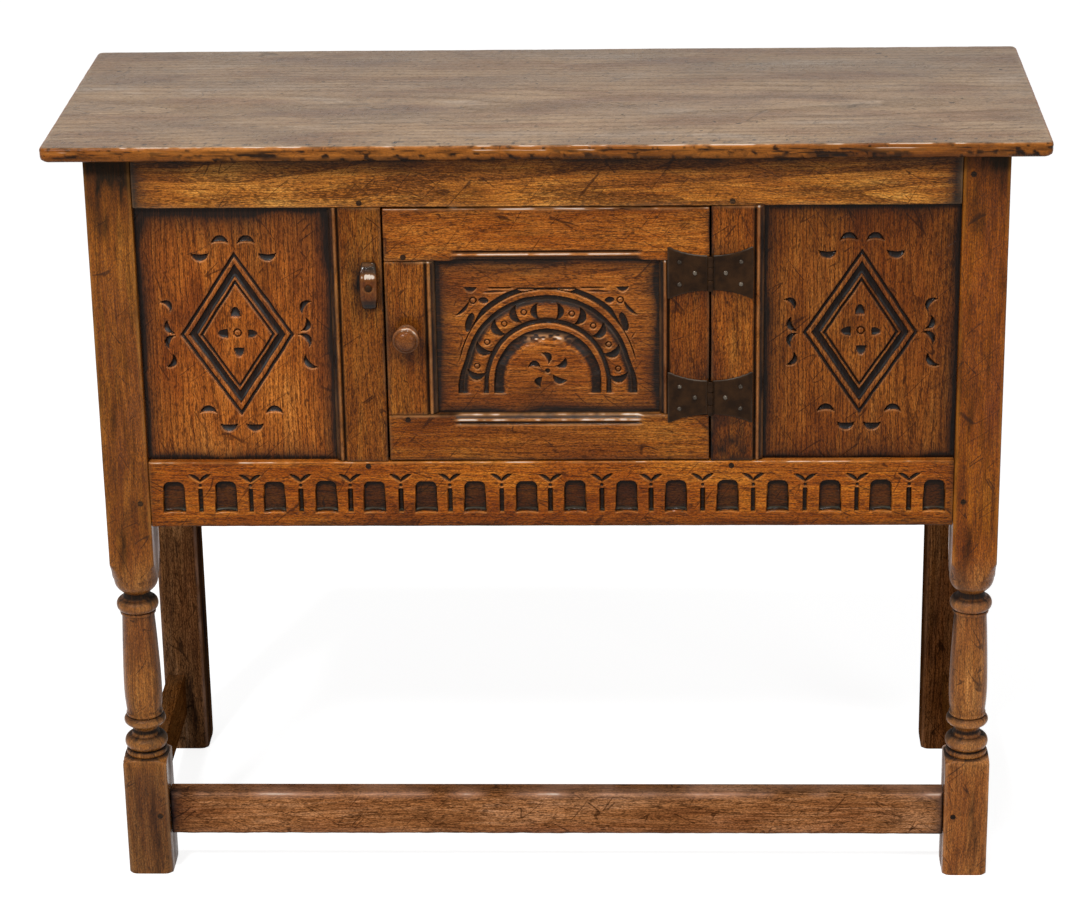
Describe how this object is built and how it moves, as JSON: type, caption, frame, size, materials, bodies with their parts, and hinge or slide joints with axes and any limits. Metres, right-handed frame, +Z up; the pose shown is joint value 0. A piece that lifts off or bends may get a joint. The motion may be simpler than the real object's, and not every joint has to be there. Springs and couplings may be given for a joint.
{
  "type": "side cabinet",
  "caption": "Oak side cabinet on turned front legs: joined frame, carved lozenge panels, arcaded frieze, carved door on butterfly hinges with a turn button.",
  "frame": {"origin": "on the floor, under the middle of the top board", "axes": "+X to the right seen from the front, +Y from the front to the back, +Z up"},
  "size_m": [1.066, 0.409, 0.877],
  "materials": {
    "oak_top": "waxed oak, greyish brown",
    "oak_frame": "waxed oak, golden brown",
    "oak_panel": "waxed oak, dark in the carving",
    "oak_turned": "waxed oak, mid brown",
    "oak_inside": "bare oak",
    "oak_peg": "dark end grain",
    "fruitwood": "polished reddish brown",
    "dark_iron": "dark hand-worked iron"
  },
  "bodies": {
    "case": {"top_board": "oak_top", "front_left_leg": "oak_turned", "front_right_leg": "oak_turned", "back_left_leg": "oak_frame", "back_right_leg": "oak_frame", "front_top_rail": "oak_frame", "front_bottom_rail": "oak_frame", "left_muntin": "oak_frame", "right_muntin": "oak_frame", "left_front_panel": "oak_panel", "right_front_panel": "oak_panel", "left_side_top_rail": "oak_frame", "left_side_bottom_rail": "oak_frame", "left_side_panel": "oak_panel", "right_side_top_rail": "oak_frame", "right_side_bottom_rail": "oak_frame", "right_side_panel": "oak_panel", "back_top_rail": "oak_frame", "back_bottom_rail": "oak_frame", "back_panel": "oak_panel", "bottom_board": "oak_inside", "door_stop": "oak_inside", "front_stretcher": "oak_frame", "left_side_stretcher": "oak_frame", "right_side_stretcher": "oak_frame", "upper_hinge_frame_leaf": "dark_iron", "lower_hinge_frame_leaf": "dark_iron", "upper_hinge_pin": "dark_iron", "lower_hinge_pin": "dark_iron", "turn_button_screw": "dark_iron", "peg_top_rail_left": "oak_peg", "peg_top_rail_right": "oak_peg", "peg_bottom_rail_left": "oak_peg", "peg_bottom_rail_right": "oak_peg", "peg_stretcher_left": "oak_peg", "peg_stretcher_right": "oak_peg", "peg_muntin_top_left": "oak_peg", "peg_muntin_top_right": "oak_peg", "peg_muntin_bottom_left": "oak_peg", "peg_muntin_bottom_right": "oak_peg", "top_dowel_front_left": "oak_inside", "top_dowel_front_right": "oak_inside", "top_dowel_back_left": "oak_inside", "top_dowel_back_right": "oak_inside"},
    "door": {"door_top_rail": "oak_frame", "door_bottom_rail": "oak_frame", "door_left_stile": "oak_frame", "door_right_stile": "oak_frame", "door_panel": "oak_panel", "door_knob": "fruitwood", "upper_hinge_door_leaf": "dark_iron", "lower_hinge_door_leaf": "dark_iron", "door_peg_top": "oak_peg", "door_peg_bottom": "oak_peg"},
    "button": {"turn_button": "fruitwood"}
  },
  "joints": [
    {"name": "door_swing", "type": "hinge", "parent": "case", "child": "door", "pos_m": [0.1756, -0.1768, 0.6551], "axis": [0, 0, 1], "range_deg": [0, 165]},
    {"name": "button_turn", "type": "hinge", "parent": "case", "child": "button", "pos_m": [-0.191, -0.1798, 0.714], "axis": [0, 1, 0], "continuous": true}
  ]
}
